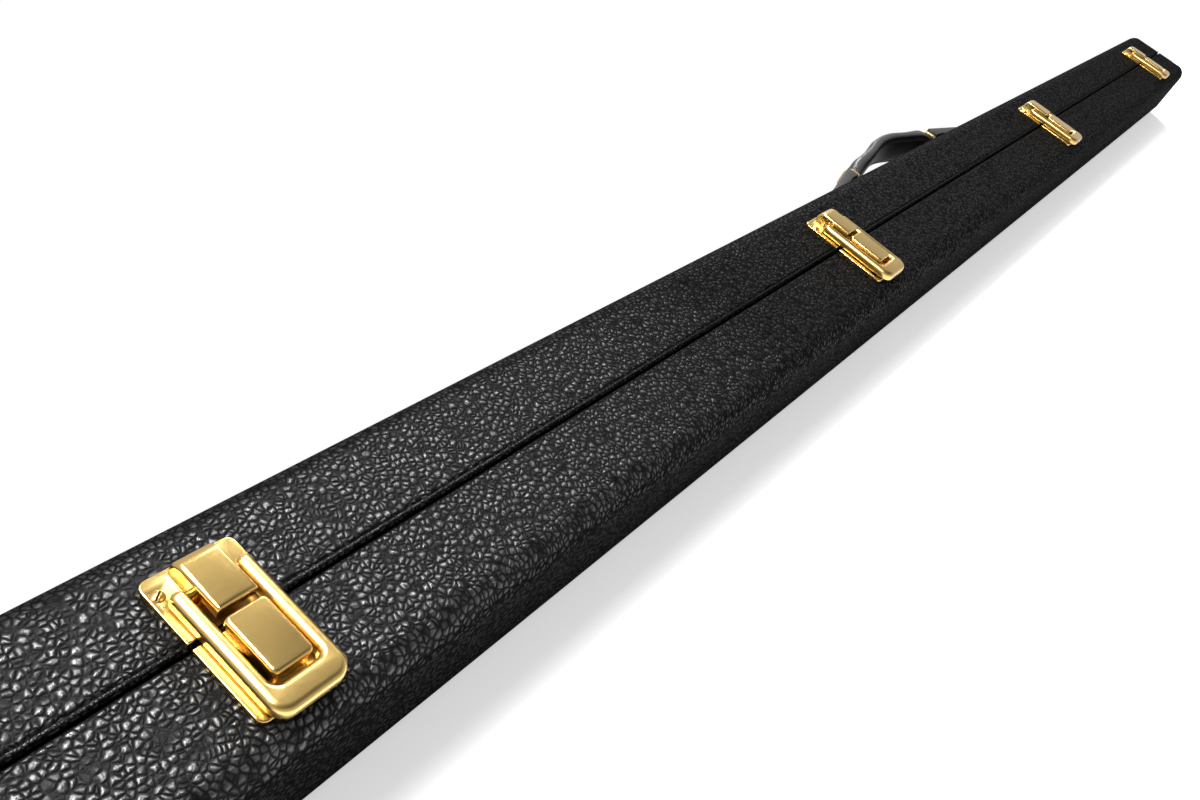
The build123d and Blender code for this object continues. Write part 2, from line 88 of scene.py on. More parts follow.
# Screws
PLATE_HEIGHT = 2.0 * MM  # top of a keeper's plate over its foot
LEAF_SINK = 0.7 * MM  # depth of the hinge screws' seats behind the leaf's edge
LEAF_HEAD = (2.0 * MM, 0.12 * MM, 0.5 * MM)  # radius, rise and slot of a hinge screw
FOOT_SHARE, FOOT_DEPTH = 0.96, 0.3 * MM  # foot of a head, sunk in its plate
FIRST_TURN, PLATE_TURN = math.radians(37), math.radians(61)  # of the latch screws' slots
LEAF_TURN = 1.1  # from one hinge screw's slot to the next

# Handle
WELT_SPREAD = 0.22  # softness of the groove, in welt widths
WELT_START, WELT_FADE = 8 * MM, 3 * MM  # half width where the groove starts, and over which it grows
STITCH_INSET = 1.75  # from the grip's edge, in welt widths
STITCH_SINK = 0.3  # in thread radii
GRIP_BARE = 13 * MM  # length without stitching at each end of the grip
TAB_BARE = (3 * MM, 15 * MM)  # the same at a tab's inner and outer end

# Place, aim, width and share of the main power of each lamp
LAMPS = {
    "softbox": ((2.0, 2.1, 1.9), (-0.2, 0, 0.05), 1.0, 1.1),
    "near_softbox": ((-0.65, 0.65, 1.18), (-0.65, 0, 0.05), 0.35, 0.27),
    "left_light": ((-1.3, 0.45, 1.15), (-0.6, 0, 0.05), 0.35, 0.19),
}


# Settings that a user would change
def ranged(kind, name, description, default, high=1.0, **options):
    return kind(name=name, description=description, default=default, min=0.0, max=high, **options)


def length(*words_and_values):
    return ranged(FloatProperty, *words_and_values, unit="LENGTH", precision=5)


def share(*words_and_values):
    return ranged(FloatProperty, *words_and_values, subtype="FACTOR")


def colour(*words_and_values):
    return ranged(FloatVectorProperty, *words_and_values, size=3, subtype="COLOR")


class CoveringSettings(bpy.types.PropertyGroup):
    base: colour("Leathercloth", "Colour of the covering", (0.0055, 0.0055, 0.006))
    # Painted shade: the darker colour laid into the grain's creases
    crease: colour("Crease", "Colour in the creases of the grain", (0.0015, 0.0015, 0.0016))
    pebble: length("Pebble", "Width of one pebble of the grain", 2.4 * MM)
    relief: length("Relief", "Depth of the creases between the pebbles", 0.6 * MM)
    shine: share("Shine", "Roughness of the pebbles' crowns", 0.31)
    crease_shine: share("Crease shine", "Roughness of the creases", 0.45)
    gloss: share("Gloss", "Strength of the covering's reflections", 1.0)
    glancing: share("Glancing gloss", "Strength of its reflections at a glancing look", 0.04)
    corner: length("Corner", "Radius of the case's outer edges", 11.0 * MM)
    lip: length("Lip", "Radius of the covering's fold at the seam", 1.6 * MM)
    shelf: length("Shelf", "Distance from the seam to the end of the bead's shelf", 2.2 * MM)
    shelf_depth: length("Shelf depth", "Depth of the bead's shelf in the lid's edge", 0.75 * MM)
    rim: length("Rim", "Distance of the folded covering from the seam's middle", 0.5 * MM)
    skin: length("Skin", "Thickness of the covering", 0.9 * MM)
    relief_width: length("Hinge relief width", "Bare width beside the seam along the hinge", 5.0 * MM)
    relief_height: length("Hinge relief height", "Bare height at the seam along the hinge", 6.0 * MM)


class BrassSettings(bpy.types.PropertyGroup):
    base: colour("Brass", "Colour of the latches", (0.64, 0.44, 0.15))
    dull: colour("Tarnish", "Colour of the duller patches", (0.47, 0.32, 0.105))
    polish: share("Roughness", "Roughness of the satin finish", 0.22)
    bevel: length("Edge", "Rounding of the latches' edges", 0.8 * MM)
    button_bevel: length("Button edge", "Rounding of the buttons' edges", 0.3 * MM)
    leg_width: length("Leg width", "Width of a bail's legs", 4.8 * MM)
    bar_width: length("Bar width", "Width of a bail's bar", 8.6 * MM)
    bail_corner: length("Bail corner", "Radius of a bail's outer corners", 6.0 * MM)
    window_corner: length("Window corner", "Radius of a bail window's corners", 2.6 * MM)
    bail_round: length("Bail rounding", "Rounding of a bail's upper edges", 2.2 * MM)
    screw_head: length("Screw head", "Radius of a latch screw's head", 2.1 * MM)
    screw_rise: length("Screw rise", "Height of a latch screw's head", 0.95 * MM)
    screw_slot: length("Screw slot", "Width of a screw's slot", 0.6 * MM)


class HandleSettings(bpy.types.PropertyGroup):
    base: colour("Leather", "Colour of the handle's leather", (0.011, 0.0105, 0.0105))
    thread: colour("Thread", "Colour of the stitching", (0.02, 0.02, 0.021))
    welt: length("Welt", "Depth of the groove inside the grip's rolled edges", 0.8 * MM)
    welt_width: length("Welt width", "Width of the grip's rolled edges", 2.6 * MM)
    fullness: FloatProperty(
        name="Fullness", description="How square the grip's section is", default=3.4, min=2, max=8
    )
    stitch_pitch: length("Stitch pitch", "Length of one stitch", 3.2 * MM)
    stitch_radius: length("Stitch radius", "Half the thickness of the thread", 0.32 * MM)


class LiningSettings(bpy.types.PropertyGroup):
    base: colour("Velvet", "Colour of the lining", (0.13, 0.008, 0.018))
    softness: length("Softness", "Rounding of the padded blocks' edges", 2.4 * MM)
    crown: length("Crown", "Rise of a pad's middle over its corners", 1.2 * MM)
    pull: length("Pull", "How far a pad's sides draw in between its corners", 0.6 * MM)


class StageSettings(bpy.types.PropertyGroup):
    floor_depth: length("Floor", "How far the floor reaches in front of the seam", 6.0, 20.0)
    camera: FloatVectorProperty(
        name="Camera",
        description="Place of the camera",
        default=(-0.7897, -0.10525, 0.3259),
        subtype="XYZ",
    )
    turn: FloatVectorProperty(
        name="Camera turn",
        description="Turn of the camera",
        default=(0.83996, -0.41692, -0.91556),
        subtype="EULER",
    )
    lens: FloatProperty(name="Lens", description="Focal length in millimetres", default=33.61)
    lamp: FloatProperty(name="Lamp", description="Power of the main lamp in watts", default=120)
    ambient: share("Ambient", "Level of the light from all round", 0.4)
    horizon: share("Horizon", "What shiny surfaces see low down", 0.75)
    ceiling: share("Ceiling", "What shiny surfaces see overhead", 0.12)
    glow: share("Floor glow", "What the camera sees added to the floor", 0.45)


SETTINGS = {
    "cue_case_covering": CoveringSettings,
    "cue_case_brass": BrassSettings,
    "cue_case_handle": HandleSettings,
    "cue_case_lining": LiningSettings,
    "cue_case_stage": StageSettings,
}


# Shader building
class Nodes:
    """A node tree with short ways to add nodes and join sockets."""

    def __init__(self, tree):
        self.tree = tree

    def add(self, kind, inputs=None, **options):
        node = self.tree.nodes.new(kind)
        for name, value in options.items():
            setattr(node, name, value)
        self.fill(node, inputs or {})
        return node

    def fill(self, node, inputs):
        """Give a node's inputs their values or links."""
        for name, value in inputs.items():
            socket = node.inputs[name]
            if isinstance(value, bpy.types.NodeSocket):
                self.tree.links.new(value, socket)
            else:
                socket.default_value = value

    def math(self, operation, first, second):
        return self.add("ShaderNodeMath", {0: first, 1: second}, operation=operation).outputs[0]

    def vector(self, operation, first, second):
        return self.add("ShaderNodeVectorMath", {0: first, 1: second}, operation=operation).outputs[0]

    def span(self, value, low, high, to_low=0.0, to_high=1.0, smooth=False):
        node = self.add(
            "ShaderNodeMapRange",
            {"Value": value, "From Min": low, "From Max": high, "To Min": to_low, "To Max": to_high},
            interpolation_type="SMOOTHSTEP" if smooth else "LINEAR",
        )
        return node.outputs["Result"]

    def mix(self, factor, first, second):
        node = self.add("ShaderNodeMix", {0: factor, 6: first, 7: second}, data_type="RGBA")
        return node.outputs[2]

    def noise(self, vector, scale, detail=2.0, roughness=0.5):
        inputs = {"Vector": vector, "Scale": scale, "Detail": detail, "Roughness": roughness}
        return self.add("ShaderNodeTexNoise", inputs).outputs["Fac"]

    def group(self, name, vector, **inputs):
        tree = bpy.data.node_groups[name]
        return self.add("ShaderNodeGroup", {"Vector": vector, **inputs}, node_tree=tree).outputs


def new_group(name, inputs, outputs):
    """A shader group: its Nodes, what goes into it, and the node that takes what comes out."""
    tree = bpy.data.node_groups.new(name, "ShaderNodeTree")
    for key, default in inputs.items():
        kind = "NodeSocketVector" if default is None else "NodeSocketFloat"
        socket = tree.interface.new_socket(key, in_out="INPUT", socket_type=kind)
        if default is not None:
            socket.default_value = default
    for key in outputs:
        tree.interface.new_socket(key, in_out="OUTPUT", socket_type="NodeSocketFloat")
    nodes = Nodes(tree)
    return nodes, nodes.add("NodeGroupInput").outputs, nodes.add("NodeGroupOutput")


def opaque(tone, level=1.0):
    """A colour with full alpha, lighter or darker by the level."""
    return (*[level * part for part in tone], 1)


def rounded(nodes, value, width):
    """A shoulder that climbs steeply from 0 and levels out at 1 over the given width."""
    climb = nodes.span(value, 0.0, width)
    return nodes.math("MULTIPLY", climb, nodes.math("SUBTRACT", 2.0, climb))


def pebble_group():
    """Grain of rounded pebbles parted by creases, with smaller lumps on each pebble, and a mask of
    the creases for painted shade.
    """
    nodes, given, result = new_group(
        "Pebble grain",
        {"Vector": None, "Width": 0.0034, "Warp": 0.35, "Lumps": 0.3},
        ("Height", "Crease", "Tone"),
    )
    scale = nodes.math("DIVIDE", 1.0, given["Width"])
    place = given["Vector"]
    for pace, reach in WARPS:
        noise = nodes.add(
            "ShaderNodeTexNoise",
            {"Vector": place, "Scale": nodes.math("MULTIPLY", scale, pace), "Detail": 1.0},
        )
        centred = nodes.vector("SUBTRACT", noise.outputs["Color"], (0.5, 0.5, 0.5))
        warp = nodes.math("MULTIPLY", given["Warp"], reach)
        push = nodes.math("MULTIPLY", given["Width"], warp)
        pushed = nodes.add("ShaderNodeVectorMath", {0: centred, "Scale": push}, operation="SCALE")
        place = nodes.vector("ADD", place, pushed.outputs[0])

    def to_edge(size):
        node = nodes.add(
            "ShaderNodeTexVoronoi", {"Vector": place, "Scale": size}, feature="DISTANCE_TO_EDGE"
        )
        return node.outputs["Distance"]

    edge = to_edge(scale)
    fine_edge = to_edge(nodes.math("MULTIPLY", scale, LUMPS_ACROSS))
    cell = nodes.add("ShaderNodeTexVoronoi", {"Vector": place, "Scale": scale}, feature="F1")
    tall = nodes.add("ShaderNodeSeparateColor", {"Color": cell.outputs["Color"]}).outputs[0]
    wall = rounded(nodes, edge, PEBBLE_WALL)
    reach = nodes.math("MULTIPLY", cell.outputs["Distance"], cell.outputs["Distance"])
    dome = nodes.span(reach, 0.0, 0.6, 1.0, 0.35)
    rise = nodes.span(tall, 0.0, 1.0, 0.7, 1.0)
    body = nodes.math("MULTIPLY", nodes.math("MULTIPLY", wall, dome), rise)
    lump = nodes.math("SUBTRACT", rounded(nodes, fine_edge, LUMP_WALL), 1.0)
    lumps = nodes.math("MULTIPLY", nodes.math("MULTIPLY", lump, given["Lumps"]), wall)
    # Mask of the creases, where the finishes paint shade into the colour
    crease = nodes.span(edge, 0.0, CREASE_WALL, 1.0, 0.0, smooth=True)
    nodes.fill(result, {"Height": nodes.math("ADD", body, lumps), "Crease": crease, "Tone": tall})


def patch_group():
    """Soft patches of wear or tarnish, as a mask from 0 to 1."""
    nodes, given, result = new_group(
        "Soft patches", {"Vector": None, "Size": 0.02, "Amount": 0.5}, ("Mask", "Fine")
    )
    scale = nodes.math("DIVIDE", 1.0, given["Size"])
    broad = nodes.noise(given["Vector"], scale, 4.0, 0.6)
    fine = nodes.noise(given["Vector"], nodes.math("MULTIPLY", scale, 14.0), 2.0, 0.6)
    start = nodes.span(given["Amount"], 0.0, 1.0, 0.75, 0.25)
    end = nodes.math("ADD", start, 0.25)
    nodes.fill(result, {"Mask": nodes.span(broad, start, end, smooth=True), "Fine": fine})


def brushed_group():
    """Fine parallel scratches along X."""
    nodes, given, result = new_group("Brushed lines", {"Vector": None, "Pitch": 0.0002}, ("Lines",))
    scale = nodes.math("DIVIDE", 1.0, given["Pitch"])
    across = nodes.vector("MULTIPLY", given["Vector"], (0.02, 1.0, 1.0))
    nodes.fill(result, {"Lines": nodes.noise(across, scale, 3.0, 0.7)})


MATERIALS = {}


def new_material(key, name):
    """The Nodes, the Principled shader and the Object coordinates of a new finish."""
    MATERIALS[key] = material = bpy.data.materials.new(name)
    material.use_nodes = True
    nodes = Nodes(material.node_tree)
    shader = material.node_tree.nodes["Principled BSDF"]
    return nodes, shader, nodes.add("ShaderNodeTexCoord").outputs["Object"]


def add_bump(nodes, shader, height, distance, strength=1.0):
    bump = nodes.add("ShaderNodeBump", {"Height": height, "Distance": distance, "Strength": strength})
    nodes.fill(shader, {"Normal": bump.outputs["Normal"]})


def leathercloth_material(key, name, settings, width, relief):
    """Black pebbled leathercloth with satin crowns, dull creases darkened with painted shade, duller
    at a glancing look.
    """
    nodes, shader, place = new_material(key, name)
    grain = nodes.group("Pebble grain", place, Width=width, Warp=0.35, Lumps=0.07)
    patches = nodes.group("Soft patches", place, Size=0.09, Amount=0.5)
    worn = nodes.span(grain["Tone"], 0.0, 1.0, 0.0, 0.3)
    base = nodes.mix(worn, opaque(settings.base), opaque(settings.base, 1.7))
    satin = nodes.span(grain["Height"], 0.2, 0.9, settings.crease_shine, settings.shine)
    wear = nodes.span(patches["Mask"], 0.0, 1.0, 0.0, 0.05)
    glance = nodes.add("ShaderNodeLayerWeight", {"Blend": 0.5}).outputs["Facing"]
    dulled = nodes.span(glance, 0.55, 0.9, 0.0, 0.3)
    crown = nodes.span(grain["Height"], 0.2, 0.8, 0.08, 1.0, smooth=True)
    level = nodes.span(glance, 0.15, 0.5, settings.gloss, settings.glancing)
    # Base colour darkened in the creases: painted shade
    nodes.fill(
        shader,
        {
            "Base Color": nodes.mix(grain["Crease"], base, opaque(settings.crease)),
            "Roughness": nodes.math("ADD", nodes.math("ADD", satin, wear), dulled),
            "Specular IOR Level": nodes.math("MULTIPLY", crown, level),
        },
    )
    fine = nodes.math("MULTIPLY", nodes.noise(place, 2200.0, 2.0, 0.6), 0.04)
    add_bump(nodes, shader, nodes.math("ADD", grain["Height"], fine), relief)


def brass_material(key, name, settings, brushed):
    """Brass with faint tarnish: brushed along the case, or a softer satin."""
    nodes, shader, place = new_material(key, name)
    patches = nodes.group("Soft patches", place, Size=0.018, Amount=0.35)
    tarnish = nodes.span(patches["Mask"], 0.0, 1.0, 0.0, 0.45)
    shade = nodes.mix(tarnish, opaque(settings.base), opaque(settings.dull))
    polish = settings.polish
    if brushed:
        lines = nodes.group("Brushed lines", place, Pitch=0.22 * MM)["Lines"]
        roughness = nodes.span(lines, 0.3, 0.7, polish, polish + 0.04)
        add_bump(nodes, shader, lines, 0.006 * MM, 0.6)
    else:
        roughness = nodes.span(patches["Fine"], 0.3, 0.7, polish + 0.06, polish + 0.09)
        add_bump(nodes, shader, patches["Fine"], 0.002 * MM, 0.5)
    nodes.fill(shader, {"Base Color": shade, "Metallic": 1.0, "Roughness": roughness})


def slot_shade_material():
    """Painted shade at the bottom of a screw's slot: near-black metal."""
    nodes, shader, place = new_material("slot", "screw_slot")
    shade = nodes.mix(nodes.noise(place, 900.0), (0.012, 0.008, 0.003, 1), (0.05, 0.034, 0.012, 1))
    nodes.fill(shader, {"Base Color": shade, "Metallic": 1.0, "Roughness": 0.6})


def steel_material():
    """Drawn steel of the hinge pin, the springs and the handle's stubs."""
    nodes, shader, place = new_material("steel", "drawn_steel")
    patches = nodes.group("Soft patches", place, Size=0.006, Amount=0.4)
    shade = nodes.mix(patches["Mask"], (0.55, 0.55, 0.54, 1), (0.42, 0.41, 0.39, 1))
    roughness = nodes.span(patches["Fine"], 0.3, 0.7, 0.25, 0.4)
    nodes.fill(shader, {"Base Color": shade, "Metallic": 1.0, "Roughness": roughness})


def handle_leather_material(settings):
    """Smooth leather with a fine grain, painted shade in its creases, and a soft shine."""
    nodes, shader, place = new_material("handle", "handle_leather")
    grain = nodes.group("Pebble grain", place, Width=0.0011, Warp=0.4, Lumps=0.1)
    # Creases darkened to half the leather's colour: painted shade
    shade = nodes.mix(grain["Crease"], opaque(settings.base), opaque(settings.base, 0.5))
    roughness = nodes.span(grain["Height"], 0.0, 1.0, 0.5, 0.36)
    nodes.fill(shader, {"Base Color": shade, "Roughness": roughness})
    add_bump(nodes, shader, grain["Height"], 0.05 * MM)


def thread_material(settings):
    """Waxed thread, twisted along the stitch."""
    nodes, shader, place = new_material("thread", "thread")
    twist = nodes.noise(place, 3200.0, 1.0)
    shade = nodes.mix(twist, opaque(settings.thread), opaque(settings.thread, 0.6))
    nodes.fill(shader, {"Base Color": shade, "Roughness": 0.55})
    add_bump(nodes, shader, twist, 0.05 * MM)


def velvet_material(settings):
    """Short-pile velvet, brushed into soft light and dark patches."""
    nodes, shader, place = new_material("velvet", "velvet")
    patches = nodes.group("Soft patches", place, Size=0.035, Amount=0.5)
    brushed = nodes.span(patches["Mask"], 0.0, 1.0, 0.0, 0.5)
    nodes.fill(
        shader,
        {
            "Base Color": nodes.mix(brushed, opaque(settings.base), opaque(settings.base, 0.55)),
            "Roughness": 0.95,
            "Sheen Weight": 0.6,
            "Sheen Roughness": 0.35,
            "Sheen Tint": (0.9, 0.35, 0.4, 1),
        },
    )
    add_bump(nodes, shader, nodes.noise(place, 1800.0, 2.0, 0.8), 0.25 * MM)


def wood_material():
    """Pale plywood and softwood with grain along the case."""
    nodes, shader, place = new_material("wood", "case_wood")
    rings = nodes.noise(nodes.vector("MULTIPLY", place, (6.0, 160.0, 160.0)), 2.0, 4.0, 0.65)
    shade = nodes.mix(nodes.span(rings, 0.35, 0.7), (0.62, 0.43, 0.24, 1), (0.40, 0.24, 0.11, 1))
    nodes.fill(shader, {"Base Color": shade, "Roughness": 0.7})
    add_bump(nodes, shader, rings, 0.1 * MM)


def make_materials(scene):
    """All finishes, made once."""
    pebble_group()
    patch_group()
    brushed_group()
    covering, brass = scene.cue_case_covering, scene.cue_case_brass
    width, relief = covering.pebble, covering.relief
    leathercloth_material("covering", "leathercloth", covering, width, relief)
    leathercloth_material("bead", "leathercloth_bead", covering, width * 0.4, relief * 0.3)
    brass_material("satin", "satin_brass", brass, False)
    brass_material("brushed", "brushed_brass", brass, True)
    slot_shade_material()
    steel_material()
    handle_leather_material(scene.cue_case_handle)
    thread_material(scene.cue_case_handle)
    velvet_material(scene.cue_case_lining)
    wood_material()


def dress(node, key):
    """Give a CAD node one of the finishes."""
    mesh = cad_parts[node].data
    mesh.materials.clear()
    mesh.materials.append(MATERIALS[key])


# Mesh building
def new_object(name, data):
    made = bpy.data.objects.new(name, data)
    bpy.context.scene.collection.objects.link(made)
    return made


def place_piece(name, mesh, body, replaced=(), key=None):
    """Put a finished mesh in the scene as a piece of one body."""
    piece = new_object(name, mesh)
    if key:
        mesh.materials.append(MATERIALS[key])
    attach(piece, body)
    if replaced:
        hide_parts(*replaced)
    return piece


def finish_mesh(bm, name, sharp=40.0):
    """A mesh from a bmesh, smooth between faces that meet at less than the sharp angle."""
    mesh = bpy.data.meshes.new(name)
    bm.to_mesh(mesh)
    bm.free()
    mesh.shade_smooth()
    mesh.set_sharp_from_angle(angle=math.radians(sharp))
    return mesh


def apply_modifiers(piece):
    """Turn a piece's evaluated shape into its plain mesh."""
    graph = bpy.context.evaluated_depsgraph_get()
    mesh = bpy.data.meshes.new_from_object(piece.evaluated_get(graph))
    mesh.name = piece.name
    old = piece.data
    piece.modifiers.clear()
    piece.data = mesh
    bpy.data.meshes.remove(old)


def round_edges(piece, width, segments, angle=None):
    """Round the edges that are sharper than an angle, or else those with a weight."""
    rounding = piece.modifiers.new("Rounding", "BEVEL")
    rounding.width = width
    rounding.segments = segments
    rounding.limit_method = "ANGLE" if angle else "WEIGHT"
    if angle:
        rounding.angle_limit = math.radians(angle)


def cut_away(piece, cutter_mesh, materials="INDEX"):
    """Cut a mesh's shape out of a piece, after its other modifiers."""
    cutter = new_object(cutter_mesh.name, cutter_mesh)
    cut = piece.modifiers.new("Cut", "BOOLEAN")
    cut.object = cutter
    cut.solver = "EXACT"
    cut.material_mode = materials
    apply_modifiers(piece)
    bpy.data.objects.remove(cutter)


def smooth_faces(piece):
    """Smooth shading, broken at sharp edges."""
    piece.data.shade_smooth()
    piece.data.set_sharp_from_angle(angle=math.radians(SHARP))


def join_loops(bm, loops):
    """Four-sided faces between each loop of points and the next."""
    for first, second in zip(loops, loops[1:]):
        for step in range(len(first)):
            follow = (step + 1) % len(first)
            bm.faces.new((first[step], first[follow], second[follow], second[step]))


def merged_copy(node):
    """The CAD node's solid with its doubles merged and its flat faces made whole."""
    bm = bmesh.new()
    bm.from_mesh(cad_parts[node].data)
    bmesh.ops.remove_doubles(bm, verts=bm.verts, dist=0.002 * MM)
    bmesh.ops.dissolve_limit(
        bm, angle_limit=math.radians(0.6), verts=bm.verts, edges=bm.edges, delimit=set()
    )
    return bm


def islands(node):
    """Low and high corner of each separate solid of a CAD node, along the case."""
    bm = merged_copy(node)
    seen, found = set(), []
    for start in bm.verts:
        if start in seen:
            continue
        seen.add(start)
        points, stack = [], [start]
        while stack:
            vert = stack.pop()
            points.append(vert.co.copy())
            for edge in vert.link_edges:
                other = edge.other_vert(vert)
                if other not in seen:
                    seen.add(other)
                    stack.append(other)
        found.append([Vector([pick(p[k] for p in points) for k in range(3)]) for pick in (min, max)])
    bm.free()
    return sorted(found, key=lambda corners: corners[0].x)


def softened(node, name, body, bevel, key, angle=38.0, segments=3):
    """A copy of a CAD node with rounded edges, which stands for it."""
    piece = place_piece(name, finish_mesh(merged_copy(node), name), body, (node,), key)
    round_edges(piece, bevel, segments, angle)
    apply_modifiers(piece)
    smooth_faces(piece)
    return piece


# Covering
def arc(centre_x, centre_z, radius, start, steps):
    """Points on a quarter circle in XZ, its first and last included."""
    points = []
    for step in range(steps + 1):
        angle = math.radians(start + 90 * step / steps)
        points.append((centre_x + radius * math.cos(angle), centre_z + radius * math.sin(angle)))
    return points


def even(first, last, steps):
    """Values between two ends, without the ends."""
    return [first + (last - first) * step / steps for step in range(1, steps)]


def ring(half_x, low, high, radius):
    """Points round a rounded rectangle in XZ, with the same count for every size."""
    x, bottom, top = half_x - radius, low + radius, high - radius
    centres = ((x, top), (-x, top), (-x, bottom), (x, bottom))
    arcs = [arc(*centre, radius, 90 * quarter, 10) for quarter, centre in enumerate(centres)]
    points = []
    for quarter, corner in enumerate(arcs):
        (x0, z0), (x1, z1) = corner[-1], arcs[(quarter + 1) % 4][0]
        steps = (240, 14)[quarter % 2]
        points += [*corner, *zip(even(x0, x1, steps), even(z0, z1, steps))]
    return points


def lip_profile(side, settings):
    """Distance from the seam and depth of the covering's fold: plain, or with the bead's shelf."""
    lip, rim = settings.lip, settings.rim
    if side == SIDES["body"]:
        angles = [math.radians(90 * step / LIP_STEPS) for step in range(LIP_STEPS + 1)]
        return [(rim + lip * (1 - math.cos(a)), lip * (1 - math.sin(a))) for a in angles]
    shelf, depth = settings.shelf, settings.shelf_depth
    profile = [(rim, depth + 0.7 * MM), (rim + 0.1 * MM, depth + 0.2 * MM), (rim + 0.4 * MM, depth)]
    for step in range(LIP_STEPS + 1):
        part = step / LIP_STEPS
        rise = part * part * (3 - 2 * part)
        profile.append((shelf + SHELF_CLIMB * part, depth * (1 - rise)))
    return profile


def cover_rings(side, settings):
    """Distance from the seam and outline of each ring of one half's covering."""
    corner, lip, rim = settings.corner, settings.lip, settings.rim
    rings = [(rim, ring(CAVITY_END, CAVITY_BOTTOM, CAVITY_TOP, 0.5 * MM))]

    def inset_ring(y, inset):
        radius = max(corner - inset, 0.01 * MM)
        rings.append((y, ring(HALF_LENGTH - inset, inset, CASE_TOP - inset, radius)))

    inset_ring(rim, lip + TURNED_IN)
    profile, relief, steps = lip_profile(side, settings), settings.relief_width, 12
    for y, depth in profile:
        inset_ring(y, depth)
    for y in (*even(profile[-1][0], relief, 3), relief, *even(relief, HALF_WIDTH - corner, steps)):
        inset_ring(y, 0.0)
    for step in range(steps + 1):
        angle = math.radians(90 * step / steps)
        inset_ring(HALF_WIDTH - corner + corner * math.sin(angle), corner * (1 - math.cos(angle)))
    return rings


def cover_mesh(name, side, settings):
    """Covering of one half: folded in at the seam, rounded at its edges, open over the hinge."""
    bm = bmesh.new()
    loops = []
    for y, points in cover_rings(side, settings):
        loops.append([bm.verts.new((x, side * y, z)) for x, z in points])
    join_loops(bm, loops)
    bm.faces.new(loops[-1])
    bmesh.ops.remove_doubles(bm, verts=bm.verts, dist=MERGE)
    broad = max(bm.faces, key=lambda face: face.calc_area())
    bmesh.ops.triangulate(bm, faces=[broad])
    cuts = (
        ((0, 0, settings.relief_height), (0, 0, 1)),
        ((HINGE_END + HINGE_PLAY, 0, 0), (1, 0, 0)),
        ((-HINGE_END - HINGE_PLAY, 0, 0), (1, 0, 0)),
    )
    for place, normal in cuts:
        near = [face for face in bm.faces if abs(face.calc_center_median().y) < settings.relief_width]
        geometry = near + list({edge for face in near for edge in face.edges})
        geometry += list({vert for face in near for vert in face.verts})
        bmesh.ops.bisect_plane(bm, geom=geometry, plane_co=place, plane_no=normal, dist=1e-6)
    doomed = [face for face in bm.faces if over_hinge(face.calc_center_median(), settings)]
    bmesh.ops.delete(bm, geom=doomed, context="FACES")
    bmesh.ops.recalc_face_normals(bm, faces=bm.faces)
    probe = max(bm.faces, key=lambda face: face.calc_center_median().z)
    if probe.normal.z < 0:
        bmesh.ops.reverse_faces(bm, faces=bm.faces)
    return finish_mesh(bm, name, 60)


def over_hinge(point, settings):
    """True where the hinge's knuckles or its leaf lie."""
    reach = abs(point.y)
    if reach < settings.relief_width and point.z < settings.relief_height:
        return True
    at_leaf = point.z < CAVITY_BOTTOM and abs(point.x) < HINGE_END + HINGE_PLAY
    return at_leaf and reach < settings.rim + 0.1 * MM


def make_covers(settings):
    """Leathercloth and bead round the wood of both halves."""
    for half, side in SIDES.items():
        name = f"{half}_leathercloth"
        replaced = (f"{half}_cover", f"{half}_standing_strip")
        mesh = cover_mesh(name, side, settings)
        piece = place_piece(name, mesh, half, replaced, "covering")
        shell = piece.modifiers.new("Skin", "SOLIDIFY")
        shell.thickness = settings.skin
        shell.offset = -1.0
        apply_modifiers(piece)
    softened("lid_seam_bead", "seam_bead", "lid", 0.1 * MM, "bead")
    for half in SIDES:
        for part in ("panel", "latch_rail", "hinge_rail", "near_end", "far_end"):
            dress(f"{half}_{part}", "wood")


# Slotted screws
def screw_head(name, radius, rise, slot):
    """One domed head with its slot along X, its seat at Z = 0."""
    bm = bmesh.new()
    sides, rings_up = 24, 5
    sphere = (radius * radius + rise * rise) / (2 * rise)
    profile = [(radius * FOOT_SHARE, -FOOT_DEPTH)]
    for reach in [radius * (1 - step / rings_up) for step in range(rings_up)]:
        profile.append((reach, math.sqrt(sphere**2 - reach**2) - (sphere - rise)))
    round_once = [math.tau * step / sides for step in range(sides)]
    loops = [
        [bm.verts.new((reach * math.cos(a), reach * math.sin(a), height)) for a in round_once]
        for reach, height in profile
    ]
    join_loops(bm, loops)
    bm.faces.new(loops[-1])
    bm.faces.new(list(reversed(loops[0])))
    bmesh.ops.recalc_face_normals(bm, faces=bm.faces)
    head = new_object(name, finish_mesh(bm, name, SHARP))
    head.data.materials.append(MATERIALS["satin"])
    cutter_bm = bmesh.new()
    size = Matrix.Diagonal((3 * radius, slot, 1.3 * rise, 1))
    bmesh.ops.create_cube(cutter_bm, size=1.0, matrix=Matrix.Translation((0, 0, rise)) @ size)
    cutter = finish_mesh(cutter_bm, name + "_cutter")
    # The slot's faces take the painted shade finish
    cutter.materials.append(MATERIALS["slot"])
    cut_away(head, cutter, "TRANSFER")
    return head


def scatter_tree():
    """Geometry nodes that put one object on every point, turned by the point's attribute."""
    tree = bpy.data.node_groups.new("Scatter", "GeometryNodeTree")
    tree.interface.new_socket("Geometry", in_out="INPUT", socket_type="NodeSocketGeometry")
    tree.interface.new_socket("Head", in_out="INPUT", socket_type="NodeSocketObject")
    tree.interface.new_socket("Geometry", in_out="OUTPUT", socket_type="NodeSocketGeometry")
    nodes = Nodes(tree)
    given = nodes.add("NodeGroupInput")
    head = nodes.add("GeometryNodeObjectInfo", {"Object": given.outputs["Head"]})
    turn = nodes.add("GeometryNodeInputNamedAttribute", {"Name": "turn"}, data_type="FLOAT_VECTOR")
    spread = nodes.add(
        "GeometryNodeInstanceOnPoints",
        {
            "Points": given.outputs["Geometry"],
            "Instance": head.outputs["Geometry"],
            "Rotation": turn.outputs["Attribute"],
        },
    )
    real = nodes.add("GeometryNodeRealizeInstances", {"Geometry": spread.outputs["Instances"]})
    nodes.add("NodeGroupOutput", {"Geometry": real.outputs["Geometry"]})
    return tree


